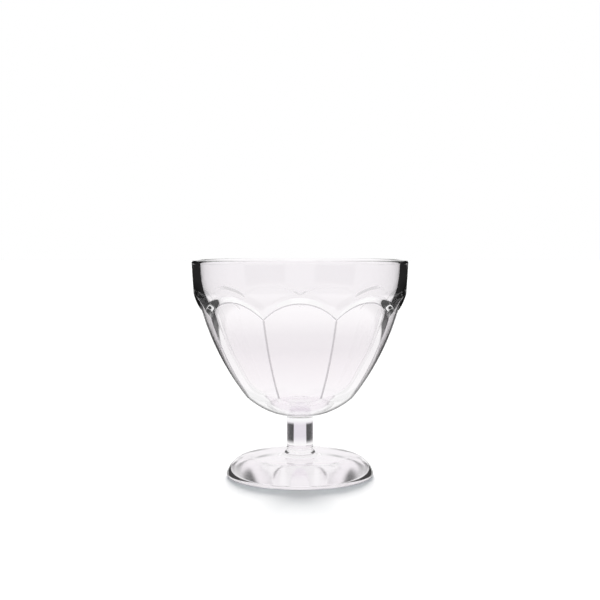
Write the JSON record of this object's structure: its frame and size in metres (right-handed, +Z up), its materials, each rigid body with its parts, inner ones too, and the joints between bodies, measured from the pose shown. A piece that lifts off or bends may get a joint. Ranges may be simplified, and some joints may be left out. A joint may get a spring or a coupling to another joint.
{
  "type": "footed dessert glass",
  "caption": "Low footed glass for layered desserts: a wide pressed bowl with arched panels under a plain rim band, on a short solid stem and a thick domed round foot.",
  "frame": {"origin": "middle of the foot, on the surface that the glass stands on", "axes": "+Z up along the axis of the glass; -Y faces the camera of the picture, with the middle of one panel at -Y"},
  "size_m": [0.095, 0.095, 0.0955],
  "materials": {
    "glass": "clear fire-polished pressed glass with a faint lavender-grey tint"
  },
  "bodies": {
    "root": {"bowl": "glass", "stem": "glass", "foot": "glass"}
  },
  "joints": []
}
